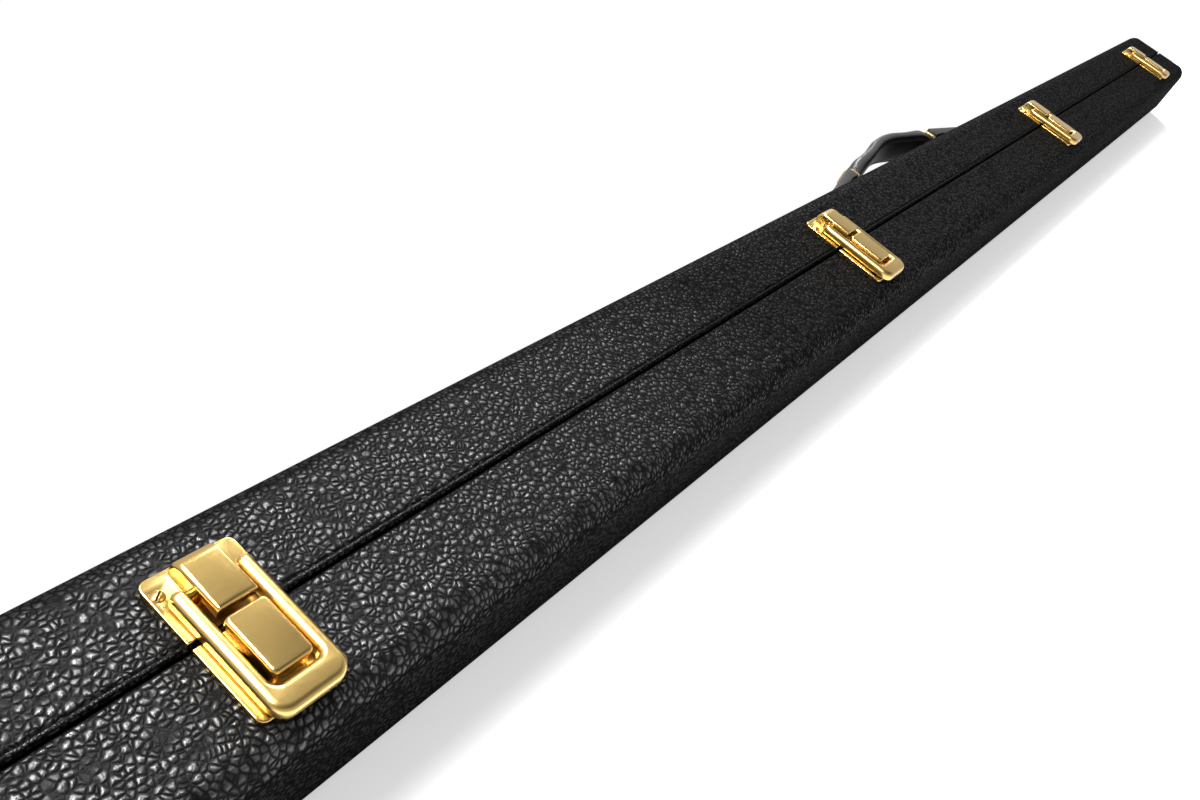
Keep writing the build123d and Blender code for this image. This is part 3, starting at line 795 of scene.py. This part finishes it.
def scatter(name, head, places, body, replaced=()):
    """Copies of a head at (point, turn) places, joined to one piece."""
    points, turns = zip(*places)
    mesh = bpy.data.meshes.new(name)
    mesh.from_pydata(points, [], [])
    attribute = mesh.attributes.new("turn", "FLOAT_VECTOR", "POINT")
    for item, turn in zip(attribute.data, turns):
        item.vector = turn
    piece = place_piece(name, mesh, body, replaced)
    modifier = piece.modifiers.new("Places", "NODES")
    modifier.node_group = tree = bpy.data.node_groups.get("Scatter") or scatter_tree()
    socket = next(item for item in tree.interface.items_tree if item.name == "Head")
    modifier[socket.identifier] = head
    apply_modifiers(piece)


def make_screws(settings):
    """Slotted screws of the latches and of the hinge, one piece for each half."""
    dome = screw_head("dome_head", settings.screw_head, settings.screw_rise, settings.screw_slot)
    flat = screw_head("flat_head", *LEAF_HEAD)
    plate_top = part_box("latch_keeper_1")[0][2] + PLATE_HEIGHT
    leaf_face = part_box("lid_hinge_leaf")[1][1] - LEAF_SINK
    for half, side in SIDES.items():
        node, places = f"{half}_latch_screws", []
        for index, (low, high) in enumerate(islands(node)):
            middle = (low + high) / 2
            turn = (0, 0, FIRST_TURN + PLATE_TURN * index)
            places.append(((middle.x, middle.y, plate_top), turn))
        scatter(f"{half}_plate_screws", dome, places, half, (node,))
        node, places = f"{half}_hinge_screws", []
        upright = Matrix.Rotation(math.radians(90 * side), 3, "X")
        for index, (low, high) in enumerate(islands(node)):
            middle = (low + high) / 2
            turn = upright @ Matrix.Rotation(LEAF_TURN * index, 3, "Z")
            places.append(((middle.x, side * leaf_face, middle.z), turn.to_euler()))
        scatter(f"{half}_leaf_screws", flat, places, half, (node,))
    for head in (dome, flat):
        bpy.data.objects.remove(head)


def bail_outline(low, high, settings):
    """Points of the bail's U in XY, its legs up, going round once."""
    leg, bar = settings.leg_width, settings.bar_width
    corner, inner = settings.bail_corner, settings.window_corner
    points, steps = [], 12

    def turn(x, y, radius, start, sweep):
        for step in range(steps + 1):
            angle = math.radians(start + sweep * step / steps)
            points.append((x + radius * math.cos(angle), y + radius * math.sin(angle)))

    turn(low.x + corner, low.y + corner, corner, 180, 90)
    turn(high.x - corner, low.y + corner, corner, 270, 90)
    turn(high.x - leg / 2, high.y - leg / 2, leg / 2, 0, 180)
    turn(high.x - leg - inner, low.y + bar + inner, inner, 0, -90)
    turn(low.x + leg + inner, low.y + bar + inner, inner, 270, -90)
    turn(low.x + leg / 2, high.y - leg / 2, leg / 2, 0, 180)
    return points


def make_bail(number, settings):
    """Cast clasp with full, rounded legs, bored for its pin."""
    node, name = f"latch_bail_{number}", f"bail_{number}"
    low, high = (Vector(corner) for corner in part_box(node))
    bm = bmesh.new()
    rim = [bm.verts.new((x, y, low.z)) for x, y in bail_outline(low, high, settings)]
    base = bm.faces.new(rim)
    top = bmesh.ops.extrude_face_region(bm, geom=[base])
    crest = [item for item in top["geom"] if isinstance(item, bmesh.types.BMVert)]
    bmesh.ops.translate(bm, verts=crest, vec=(0, 0, high.z - low.z))
    bmesh.ops.remove_doubles(bm, verts=bm.verts, dist=0.01 * MM)
    bmesh.ops.recalc_face_normals(bm, faces=bm.faces)
    weight = bm.edges.layers.float.new("bevel_weight_edge")
    for edge in bm.edges:
        heights = [vert.co.z for vert in edge.verts]
        if abs(heights[0] - heights[1]) < 0.1 * MM:
            edge[weight] = 1.0 if heights[0] > low.z + 0.1 * MM else 0.3
    piece = place_piece(name, finish_mesh(bm, name), name, (node,), "satin")
    round_edges(piece, settings.bail_round, 6)
    pin_low, pin_high = (Vector(corner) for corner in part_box(f"latch_bail_pin_{number}"))
    middle = (pin_low + pin_high) / 2
    radius = (pin_high.z - pin_low.z) / 2 + 0.05 * MM
    drill_bm = bmesh.new()
    bmesh.ops.create_cone(
        drill_bm,
        cap_ends=True,
        segments=24,
        radius1=radius,
        radius2=radius,
        depth=pin_high.x - pin_low.x + 0.2 * MM,
        matrix=Matrix.Translation(middle) @ Matrix.Rotation(math.radians(90), 4, "Y"),
    )
    cut_away(piece, finish_mesh(drill_bm, "drill"))
    smooth_faces(piece)


def make_latches(settings):
    """Rounded copies of the latches' brushed plates and buttons, and a satin bail for each."""
    for number in LATCHES:

        def brushed(part, body, bevel):
            node, name = f"latch_{part}_{number}", f"{part}_{number}"
            softened(node, name, body, bevel, "brushed")

        brushed("strike", "lid", settings.bevel)
        make_bail(number, settings)
        brushed("keeper", "body", settings.bevel * 0.6)
        brushed("button", f"button_{number}", settings.button_bevel)
        dress(f"latch_bail_pin_{number}", "satin")
        dress(f"latch_button_spring_{number}", "steel")


def make_hinge():
    """Finishes of the continuous hinge."""
    for half in SIDES:
        dress(f"{half}_hinge_leaf", "satin")
    dress("hinge_pin", "steel")


# Inside
def make_pads(settings):
    """Crowned velvet pads in the lid, their sides pulled in between the corners."""
    bm = bmesh.new()
    for low, high in islands("lid_pads"):
        middle, half = (low + high) / 2, (high - low) / 2
        finished = set(bm.verts)
        made = bmesh.ops.create_cube(bm, size=2.0)
        edges = list({edge for vert in made["verts"] for edge in vert.link_edges})
        bmesh.ops.subdivide_edges(bm, edges=edges, cuts=11, use_grid_fill=True)
        for vert in [vert for vert in bm.verts if vert not in finished]:
            u, v, w = vert.co
            pull = settings.pull / half.z
            x = u * (half.x - settings.pull * (1 - w * w))
            z = w * half.z * (1 - pull * (1 - u * u))
            crown = settings.crown * (u**4 + w**4) / 2
            y = v * half.y + (crown if v < 0 else 0.0) * -v
            vert.co = middle + Vector((x, y, z))
    bmesh.ops.recalc_face_normals(bm, faces=bm.faces)
    mesh = finish_mesh(bm, "press_pads", SHARP)
    pads = place_piece("press_pads", mesh, "lid", ("lid_pads",), "velvet")
    round_edges(pads, settings.softness * 0.5, 3, SHARP)
    apply_modifiers(pads)
    pads.data.shade_smooth()


def make_inside(settings):
    """Velvet trays, cue rests and pads."""
    for half in SIDES:
        softened(f"{half}_lining", f"{half}_tray", half, 0.5 * MM, "velvet")
    for number in RESTS:
        node, name = f"cue_rest_{number}", f"rest_{number}"
        rest = softened(node, name, "body", settings.softness, "velvet", 60, 4)
    make_pads(settings)


# Handle
def outline(node):
    """A function that gives a CAD node's middle and half sizes, in Y and Z, at one place along X."""
    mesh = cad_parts[node].data
    points = np.empty(3 * len(mesh.vertices))
    mesh.vertices.foreach_get("co", points)
    ends = np.empty(2 * len(mesh.edges), dtype=int)
    mesh.edges.foreach_get("vertices", ends)
    first, second = points.reshape(-1, 3)[ends.reshape(-1, 2)].transpose(1, 0, 2)

    def section(x):
        crossed = (first[:, 0] - x) * (second[:, 0] - x) < 0
        start, run = first[crossed], (second - first)[crossed]
        cut = (start + run * ((x - start[:, :1]) / run[:, :1]))[:, 1:]
        low, high = cut.min(axis=0), cut.max(axis=0)
        return (*((low + high) / 2).tolist(), *((high - low) / 2).tolist())

    return section


def grip_depth(offset, half_width, half_depth, settings):
    """Half the grip's depth at an offset across it, with the groove inside its rolled edge."""
    across = min(abs(offset) / half_width, 1.0)
    depth = half_depth * (1 - across**settings.fullness) ** (1 / settings.fullness)
    groove = (abs(offset) - (half_width - settings.welt_width)) / (WELT_SPREAD * settings.welt_width)
    strength = min(max((half_width - WELT_START) / WELT_FADE, 0.0), 1.0)
    return depth - settings.welt * strength * math.exp(-groove * groove)


def make_grip(settings):
    """Padded leather grip with rolled edges along both of its faces."""
    low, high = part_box("handle_grip")
    section = outline("handle_grip")
    first, last = low[0] + MERGE, high[0] - MERGE
    bm = bmesh.new()
    loops, around = [], 36
    for x in [first, *even(first, last, 96), last]:
        y, z, half_depth, half_width = section(x)
        across = [-half_width * math.cos(math.pi * step / around) for step in range(around + 1)]
        loop = [(offset, grip_depth(offset, half_width, half_depth, settings)) for offset in across]
        loop += [(offset, -depth) for offset, depth in reversed(loop[1:-1])]
        loops.append([bm.verts.new((x, y + depth, z + offset)) for offset, depth in loop])
    join_loops(bm, loops)
    bm.faces.new(loops[0])
    bm.faces.new(loops[-1])
    bmesh.ops.recalc_face_normals(bm, faces=bm.faces)
    mesh = finish_mesh(bm, "grip", 60)
    grip = place_piece("grip", mesh, "handle", ("handle_grip",), "handle")


def stitch_shape(settings):
    """One stitch: a short fat thread along X."""
    bm = bmesh.new()
    bmesh.ops.create_uvsphere(bm, u_segments=10, v_segments=6, radius=1.0)
    size = (settings.stitch_pitch * 0.38, settings.stitch_radius * 1.3, settings.stitch_radius)
    bmesh.ops.transform(bm, matrix=Matrix.Diagonal((*size, 1)), verts=bm.verts)
    stitch = new_object("stitch", finish_mesh(bm, "stitch", 80))
    stitch.data.materials.append(MATERIALS["thread"])
    return stitch


def stitch_row(span, pitch, place):
    """Places and turns of stitches along X, over a span, on the points that a function gives."""
    count = round(abs(span[1] - span[0]) / pitch)
    points = [place(x) for x in (span[0], *even(*span, count), span[1])]
    places = []
    for first, second in zip(points, points[1:]):
        run = second - first
        places.append(((first + second) / 2, (0, 0, math.atan2(run.y, run.x))))
    return places


def make_stitches(settings):
    """Rows of stitching inside the grip's rolled edges and along the edges of its tabs."""
    stitch = stitch_shape(settings)
    pitch, sink = settings.stitch_pitch, STITCH_SINK * settings.stitch_radius
    low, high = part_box("handle_grip")
    section = outline("handle_grip")
    places = []
    for edge in (-1, 1):
        for face in (-1, 1):

            def on_grip(x):
                y, z, half_depth, half_width = section(x)
                offset = half_width - STITCH_INSET * settings.welt_width
                depth = grip_depth(offset, half_width, half_depth, settings)
                return Vector((x, y + face * (depth - sink), z + edge * offset))

            places += stitch_row((low[0] + GRIP_BARE, high[0] - GRIP_BARE), pitch, on_grip)
    scatter("grip_stitches", stitch, places, "handle")
    for end, side in ENDS.items():
        low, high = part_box(f"handle_tab_{end}")
        section = outline(f"handle_tab_{end}")
        inner, outer = (high[0], low[0]) if side < 0 else (low[0], high[0])
        span = (inner + side * TAB_BARE[0], outer - side * TAB_BARE[1])
        places = []
        for edge in (-1, 1):
            height = MID_HEIGHT + edge * ((high[2] - low[2]) / 2 - settings.welt_width)

            def on_tab(x):
                y, _, half_depth, _ = section(x)
                return Vector((x, y + half_depth - sink, height))

            places += stitch_row(span, pitch, on_tab)
        scatter(f"tab_{end}_stitches", stitch, places, "lid")
    bpy.data.objects.remove(stitch)


def make_handle(settings):
    """Padded grip with its bands, and the tabs and rivets that hold it."""
    for end in ENDS:
        softened(f"handle_ring_{end}", f"ring_{end}", "handle", 0.15 * MM, "satin")
        softened(f"handle_tab_{end}", f"tab_{end}", "lid", 0.8 * MM, "handle", 30)
    make_grip(settings)
    make_stitches(settings)
    softened("handle_rivets", "rivets", "lid", 0.3 * MM, "satin")
    dress("handle_pins", "steel")


# Stage
def make_world(settings):
    """White to the camera, bright low down and dim above in reflections, one level for the rest."""
    world = bpy.data.worlds.new("studio")
    bpy.context.scene.world = world
    world.use_nodes = True
    nodes = Nodes(world.node_tree)
    backdrop = world.node_tree.nodes["Background"]
    path = nodes.add("ShaderNodeLightPath")
    direction = nodes.add("ShaderNodeTexCoord").outputs["Generated"]
    up = nodes.add("ShaderNodeSeparateXYZ", {"Vector": direction}).outputs["Z"]
    mirrored = nodes.span(up, 0.35, 0.75, settings.horizon, settings.ceiling, smooth=True)
    plain = nodes.math("MAXIMUM", path.outputs["Is Camera Ray"], settings.ambient)
    level = nodes.add("ShaderNodeMix", {0: path.outputs["Is Glossy Ray"], 2: plain, 3: mirrored})
    nodes.fill(backdrop, {"Color": (1, 1, 1, 1), "Strength": level.outputs[0]})


def floor_material(settings):
    """Matt white floor that looks white to the camera and keeps the shadow."""
    nodes, shader, place = new_material("floor", "floor")
    speckle = nodes.span(nodes.noise(place, 40.0), 0.0, 1.0, 0.0, 0.2)
    seen = nodes.add("ShaderNodeLightPath").outputs["Is Camera Ray"]
    nodes.fill(
        shader,
        {
            "Base Color": nodes.mix(speckle, (0.92, 0.92, 0.92, 1), (0.9, 0.9, 0.9, 1)),
            "Roughness": 0.9,
            "Specular IOR Level": 0.1,
            "Emission Color": (1, 1, 1, 1),
            "Emission Strength": nodes.math("MULTIPLY", seen, settings.glow),
        },
    )


def make_floor(settings):
    """Floor from the seam's plane forwards, so that it doesn't cut the open lid."""
    reach = settings.floor_depth
    mesh = bpy.data.meshes.new("floor")
    corners = [(-reach, -reach, 0), (reach, -reach, 0), (reach, 0, 0), (-reach, 0, 0)]
    mesh.from_pydata(corners, [], [(0, 1, 2, 3)])
    floor_material(settings)
    mesh.materials.append(MATERIALS["floor"])
    floor = new_object("floor", mesh)


def add_lamp(name, place, target, width, power):
    """A soft square lamp that faces a point."""
    lamp = bpy.data.lights.new(name, "AREA")
    lamp.shape = "SQUARE"
    lamp.size = width
    lamp.energy = power
    holder = new_object(name, lamp)
    holder.location = place
    holder.rotation_euler = (Vector(target) - Vector(place)).to_track_quat("-Z", "Y").to_euler()


def make_camera(settings):
    """Camera at the photograph's viewpoint."""
    lens = bpy.data.cameras.new("camera")
    lens.lens = settings.lens
    lens.sensor_width = 36.0
    lens.sensor_fit = "HORIZONTAL"
    lens.clip_start = 0.01
    camera = new_object("camera", lens)
    camera.location = settings.camera
    camera.rotation_euler = settings.turn
    bpy.context.scene.camera = camera
    bpy.context.scene.view_settings.view_transform = "Standard"


# Operators, one for each group of pieces
class CUECASE_OT_materials(bpy.types.Operator):
    """Make the finishes of the cue case"""

    bl_idname = "cue_case.materials"
    bl_label = "Make finishes"

    def execute(self, context):
        make_materials(context.scene)
        return {"FINISHED"}


class CUECASE_OT_covering(bpy.types.Operator):
    """Build the leathercloth covering of both halves"""

    bl_idname = "cue_case.covering"
    bl_label = "Build covering"

    def execute(self, context):
        make_covers(context.scene.cue_case_covering)
        return {"FINISHED"}


class CUECASE_OT_latches(bpy.types.Operator):
    """Build the brass latches"""

    bl_idname = "cue_case.latches"
    bl_label = "Build latches"

    def execute(self, context):
        make_latches(context.scene.cue_case_brass)
        return {"FINISHED"}


class CUECASE_OT_screws(bpy.types.Operator):
    """Build the slotted screws"""

    bl_idname = "cue_case.screws"
    bl_label = "Build screws"

    def execute(self, context):
        make_screws(context.scene.cue_case_brass)
        return {"FINISHED"}


class CUECASE_OT_hinge(bpy.types.Operator):
    """Finish the continuous hinge"""

    bl_idname = "cue_case.hinge"
    bl_label = "Finish hinge"

    def execute(self, context):
        make_hinge()
        return {"FINISHED"}


class CUECASE_OT_inside(bpy.types.Operator):
    """Build the velvet trays, rests and pads"""

    bl_idname = "cue_case.inside"
    bl_label = "Build inside"

    def execute(self, context):
        make_inside(context.scene.cue_case_lining)
        return {"FINISHED"}


class CUECASE_OT_handle(bpy.types.Operator):
    """Build the leather handle"""

    bl_idname = "cue_case.handle"
    bl_label = "Build handle"

    def execute(self, context):
        make_handle(context.scene.cue_case_handle)
        return {"FINISHED"}


class CUECASE_OT_stage(bpy.types.Operator):
    """Set the floor, lamps, world and camera"""

    bl_idname = "cue_case.stage"
    bl_label = "Set stage"

    def execute(self, context):
        settings = context.scene.cue_case_stage
        make_world(settings)
        make_floor(settings)
        for name, (place, target, width, part) in LAMPS.items():
            add_lamp(name, place, target, width, settings.lamp * part)
        make_camera(settings)
        return {"FINISHED"}


OPERATORS = (
    CUECASE_OT_materials,
    CUECASE_OT_stage,
    CUECASE_OT_covering,
    CUECASE_OT_latches,
    CUECASE_OT_screws,
    CUECASE_OT_hinge,
    CUECASE_OT_inside,
    CUECASE_OT_handle,
)


class CUECASE_PT_panel(bpy.types.Panel):
    """Steps and settings of the cue case"""

    bl_idname = "CUECASE_PT_panel"
    bl_label = "Cue Case"
    bl_space_type = "VIEW_3D"
    bl_region_type = "UI"
    bl_category = "Cue Case"

    def draw(self, context):
        for operator in OPERATORS:
            self.layout.operator(operator.bl_idname)
        for key, group in SETTINGS.items():
            box = self.layout.box()
            for name in group.__annotations__:
                box.prop(getattr(context.scene, key), name)


def register():
    for group in SETTINGS.values():
        bpy.utils.register_class(group)
    for item in (*OPERATORS, CUECASE_PT_panel):
        bpy.utils.register_class(item)
    for key, group in SETTINGS.items():
        setattr(bpy.types.Scene, key, PointerProperty(type=group))


def unregister():
    for key in SETTINGS:
        delattr(bpy.types.Scene, key)
    for item in (CUECASE_PT_panel, *reversed(OPERATORS)):
        bpy.utils.unregister_class(item)
    for group in SETTINGS.values():
        bpy.utils.unregister_class(group)


def main():
    register()
    for operator in OPERATORS:
        group, name = operator.bl_idname.split(".")
        getattr(getattr(bpy.ops, group), name)()


if __name__ == "__main__":
    main()
